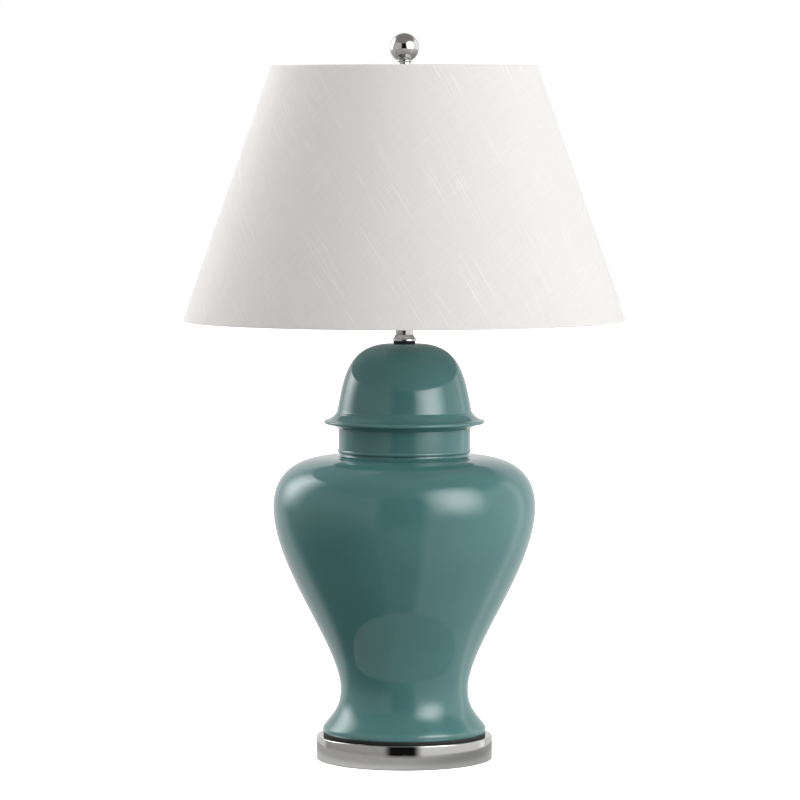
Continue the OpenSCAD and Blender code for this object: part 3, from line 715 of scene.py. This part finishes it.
# Flat cut of the linen: a ring sector, whose sides are the slants and whose arcs are the two rims
SLANT = SHADE_H * FACE * MM
OUTER_ARC = SHADE_LOW_R * FACE / SLOPE * MM
INNER_ARC = OUTER_ARC - SLANT
SECTOR = FULL_TURN * SLOPE / FACE
CLOTH_AREA = (OUTER_ARC ** 2 - INNER_ARC ** 2) * SECTOR / 2
CLOTH_WIDTH = 2 * OUTER_ARC * math.sin(min(SECTOR / 2, math.pi / 2))
CLOTH_LENGTH = OUTER_ARC - INNER_ARC * math.cos(SECTOR / 2)


# ---- The finial ----

FINIAL_BORE_R = 4.45
FINIAL_BORE_DEPTH = 11.1


def finial_ball():
    """The ball, flat where it meets its collar."""
    r = reach("finial_ball")
    centre = high("finial_ball") - r
    seat = low("finial_ball") - centre
    start = math.degrees(math.asin(seat / r))
    outline = arc((0, centre), r, start, 90, 64)
    outline[-1] = (0, centre + r)
    return spun([(0, low("finial_ball"))] + outline, AROUND_SMALL, closed=False)


def finial_collar():
    """The collar, waisted below its rim and bored from beneath for the harp's screw."""
    z, top, r = low("finial_base"), high("finial_base"), reach("finial_base")
    bore_top = z + FINIAL_BORE_DEPTH
    outline = ([(FINIAL_BORE_R, z), (r - 0.5, z), (r - 0.1, z + 0.2), (r, z + 0.6)]
               + curve((r, top - 5), (r - 0.9, top - 3.6), (r - 0.9, top - 2.2), (r, top - 1), 10)
               + [(r - 0.05, top - 0.3), (r - 0.4, top), (0, top), (0, bore_top),
                  (FINIAL_BORE_R, bore_top)])
    return spun(outline, AROUND_SMALL)


stand_in("finial_ball", finial_ball(), 45.0)
stand_in("finial_base", finial_collar())


# ---- Harp ----

def swept_wire(path, radius):
    """A round wire of a radius in millimetres along points of the XZ plane: one ring, extruded on."""
    bm = bmesh.new()
    points = [Vector((x * MM, 0, z * MM)) for x, z in path]
    runs = [(points[min(i + 1, len(points) - 1)] - points[max(i - 1, 0)]).normalized()
            for i in range(len(points))]
    ring = bmesh.ops.create_circle(bm, cap_ends=True, radius=radius * MM, segments=16)["verts"]
    turn = Vector((0, 0, 1)).rotation_difference(runs[0]).to_matrix().to_4x4()
    bmesh.ops.transform(bm, matrix=Matrix.Translation(points[0]) @ turn, verts=ring)
    edges = list({edge for vertex in ring for edge in vertex.link_edges})
    for i in range(1, len(points)):
        grown = bmesh.ops.extrude_edge_only(bm, edges=edges)["geom"]
        ring = [g for g in grown if isinstance(g, bmesh.types.BMVert)]
        edges = [g for g in grown if isinstance(g, bmesh.types.BMEdge)]
        turn = runs[i - 1].rotation_difference(runs[i]).to_matrix().to_4x4()
        step = Matrix.Translation(points[i]) @ turn @ Matrix.Translation(-points[i - 1])
        bmesh.ops.transform(bm, matrix=step, verts=ring)
    bmesh.ops.contextual_create(bm, geom=edges)
    return bm


SADDLE_TOP = low("harp_ferrule_left") - 5.7
FOOT_X = (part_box("harp_ferrule_right")[0][0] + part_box("harp_ferrule_right")[1][0]) / 2 / MM
WIRE_R = 1.6
HARP_X = reach("harp_wire") - WIRE_R
HARP_TOP = high("harp_wire") - WIRE_R
FOOT_TOP = SADDLE_TOP + 12.0
PLUG_R = 2.2
PLUG_H = 5


def harp_path():
    """Half of the harp's centreline, then its mirror image."""
    straight, bow = SADDLE_TOP + 34.0, SADDLE_TOP + 105.6
    leg = curve((FOOT_X, straight), (FOOT_X, straight + 26), (HARP_X, bow - 44), (HARP_X, bow), 22)
    loop = curve((HARP_X, bow), (HARP_X, bow + 72), (0.72 * HARP_X, HARP_TOP), (7.0, HARP_TOP), 30)
    half = [(FOOT_X, FOOT_TOP + 2)] + leg + loop[1:]
    return half + [(-x, z) for x, z in reversed(half)]


def harp():
    """The bent wire, and the plug that each end carries in its ferrule."""
    bm = swept_wire(harp_path(), WIRE_R)
    for side in (-1, 1):
        plug = bmesh.ops.create_cone(bm, cap_ends=True, segments=24, radius1=PLUG_R * MM,
                                     radius2=PLUG_R * MM, depth=PLUG_H * MM)["verts"]
        bmesh.ops.translate(bm, vec=(side * FOOT_X * MM, 0, (FOOT_TOP + PLUG_H / 2) * MM), verts=plug)
    return bm


stand_in("harp_wire", harp())


# ---- The CAD nodes that keep their shape get their finish ----

for node, piece in frame["nodes"].items():
    if not piece.hide_render:
        piece.data.materials.clear()
        piece.data.materials.append(LOOKS[SLOT_OF[node]])


# ---- Studio ----

AIM = Vector((0, 0, 0.35))


def card(name, corners, finish):
    """A flat card of the set, which only reflections show."""
    bm = bmesh.new()
    bm.faces.new([bm.verts.new(corner) for corner in corners])
    mesh = bpy.data.meshes.new(name)
    bm.to_mesh(mesh)
    bm.free()
    mesh.materials.append(finish.material)
    piece = bpy.data.objects.new(name, mesh)
    bpy.context.scene.collection.objects.link(piece)
    piece.visible_camera = False
    piece.visible_diffuse = False
    piece.visible_shadow = False
    piece.visible_transmission = False
    return piece


def hang(piece, azimuth, elevation, distance):
    """Puts a piece at an azimuth (0 front, 90 right) and an elevation, in degrees, facing the lamp."""
    a, e = math.radians(azimuth), math.radians(elevation)
    away = Vector((math.sin(a) * math.cos(e), -math.cos(a) * math.cos(e), math.sin(e)))
    piece.location = AIM + away * distance
    piece.rotation_euler = away.to_track_quat("Z", "Y").to_euler()


def panel(name, azimuth, elevation, distance, size, soft, radiance):
    """A glowing panel that fades to nothing over a soft width at its edges."""
    w, h = size[0] / 2, size[1] / 2
    f = Finish(name + "_light", Base_Color=(0, 0, 0), Specular_IOR_Level=0.0,
               Emission_Strength=radiance, Emission_Color=(1, 1, 1))
    x, y, _ = f.parts(f.place())
    f.fade(abs(x).ramp(w - soft, w, 1.0, 0.0) * abs(y).ramp(h - soft, h, 1.0, 0.0))
    piece = card(name, [(-w, -h, 0), (w, -h, 0), (w, h, 0), (-w, h, 0)], f)
    hang(piece, azimuth, elevation, distance)
    return piece


def softbox(name, azimuth, elevation, distance, size, power, tint=(1, 1, 1)):
    """A lamp of the studio that lights the surfaces but shows in no reflection."""
    data = bpy.data.lights.new(name, "AREA")
    data.size = size
    data.energy = power
    data.color = tint
    light = bpy.data.objects.new(name, data)
    hang(light, azimuth, elevation, distance)
    light.visible_glossy = False
    bpy.context.scene.collection.objects.link(light)


# A white floor that only the camera sees, and only from above
FAR = 12.0
FLOOR_Z = -0.0002
boards = Finish("floor", Base_Color=(0.9, 0.9, 0.9), Roughness=0.9, Specular_IOR_Level=0.0,
                Emission_Color=(1, 1, 1), Emission_Strength=1.2)
boards.fade(1.0 - boards.add("ShaderNodeNewGeometry", output="Backfacing"))
floor = card("floor", [(x, y, FLOOR_Z) for x, y in ((-FAR, -FAR), (FAR, -FAR), (FAR, FAR), (-FAR, FAR))],
             boards)
floor.visible_camera = True
floor.visible_transmission = True
floor.visible_glossy = False

# A round plinth that only reflections and bounced light see, with a pool of light painted pale under the
# lamp that fades to grey further out
PLINTH_R = 0.195
PLINTH_Z = 0.0001
POOL_R = 0.105
POOL_FADE_R = 0.15
stone = Finish("plinth", Roughness=0.9, Specular_IOR_Level=0.0)
x, y, _ = stone.parts(stone.place())
# painted pool of light: the plinth's colour is pale under the lamp and greyer further out
painted_pool = ((x * x + y * y) ** 0.5).ramp(POOL_R, POOL_FADE_R, 0.98, 0.62)
stone.set("Base Color", stone.joined(painted_pool, painted_pool, painted_pool))
turns = [FULL_TURN * k / 64 for k in range(64)]
plinth = card("plinth", [(PLINTH_R * math.cos(t), PLINTH_R * math.sin(t), 0) for t in turns], stone)
plinth.location.z = PLINTH_Z
plinth.visible_diffuse = True

panel("key_core", 49, 23, 1.8, (2.3, 2.5), 1.1, 7.0)
panel("rim_left", -120, 24, 1.8, (1.7, 2.2), 0.95, 5.2).visible_diffuse = True
softbox("key", 47, 20, 2.2, 1.4, 20)
softbox("left_back", -123, 15, 2.2, 1.4, 17, (1.0, 0.965, 0.965))
softbox("overhead", -60, 58, 2.2, 2.0, 14)

# The room: a bright right side, a dimmer left, a dark gap before the lamp, a white backdrop
world = bpy.data.worlds.new("studio")
bpy.context.scene.world = world
world.use_nodes = True
world.node_tree.nodes.clear()
room = Graph(world.node_tree)
x, y, z = room.parts(room.add("ShaderNodeTexCoord", output="Generated"))
turn = x.maths("ARCTAN2", x, 0 - y) * (180 / math.pi)  # degrees from the front, right positive
rise = z.maths("ARCSINE", z) * (180 / math.pi)


def zone(start, end, soft):
    """1 between two turns, fading out over soft degrees at each."""
    return turn.ramp(start - soft, start + soft) * turn.ramp(end - soft, end + soft, 1, 0)


right = zone(19, 128, 7) * rise.ramp(-30, 10, 0.8, 1.12)
left = zone(-118, -23, 6) * rise.ramp(-32, 4, 0.10, 0.58)
back = abs(turn).ramp(112, 132) * 0.85
gap = zone(-28, 22, 5) * rise.ramp(-24, -12, 0.2, 0.01)
walls = rise.ramp(26, 42, 1.0, 0.0)
level = (right + left + back + gap) * walls
ceiling = 1.0 - walls
colour = room.joined(level + ceiling * 0.27,
                     level - left * 0.015 + ceiling * 0.26,
                     level - left * 0.02 + ceiling * 0.26)
lit = room.add("ShaderNodeBackground", inputs={"Color": colour, "Strength": 1.0})
seen = room.add("ShaderNodeBackground", inputs={"Color": (1.0, 1.0, 1.0), "Strength": 1.0})
camera_ray = room.add("ShaderNodeLightPath", output="Is Camera Ray")
both = room.add("ShaderNodeMixShader", inputs={0: camera_ray, 1: lit, 2: seen})
room.add("ShaderNodeOutputWorld", inputs={"Surface": both}, output=None)


# ---- Camera: a long lens, level with the upper part of the shade ----

CAMERA_DISTANCE = 4.545
CAMERA_HEIGHT = 0.6535
AIM_ASIDE = -0.0045
AIM_HEIGHT = 0.3745
camera_data = bpy.data.cameras.new("camera")
camera_data.lens = 197.5
camera_data.sensor_width = 36.0
camera_data.clip_end = 50.0
camera = bpy.data.objects.new("camera", camera_data)
camera.location = (0.0, -CAMERA_DISTANCE, CAMERA_HEIGHT)
look = Vector((AIM_ASIDE, 0, AIM_HEIGHT)) - camera.location
camera.rotation_euler = look.to_track_quat("-Z", "Y").to_euler()
bpy.context.scene.collection.objects.link(camera)
bpy.context.scene.camera = camera
bpy.context.scene.view_settings.view_transform = "Standard"
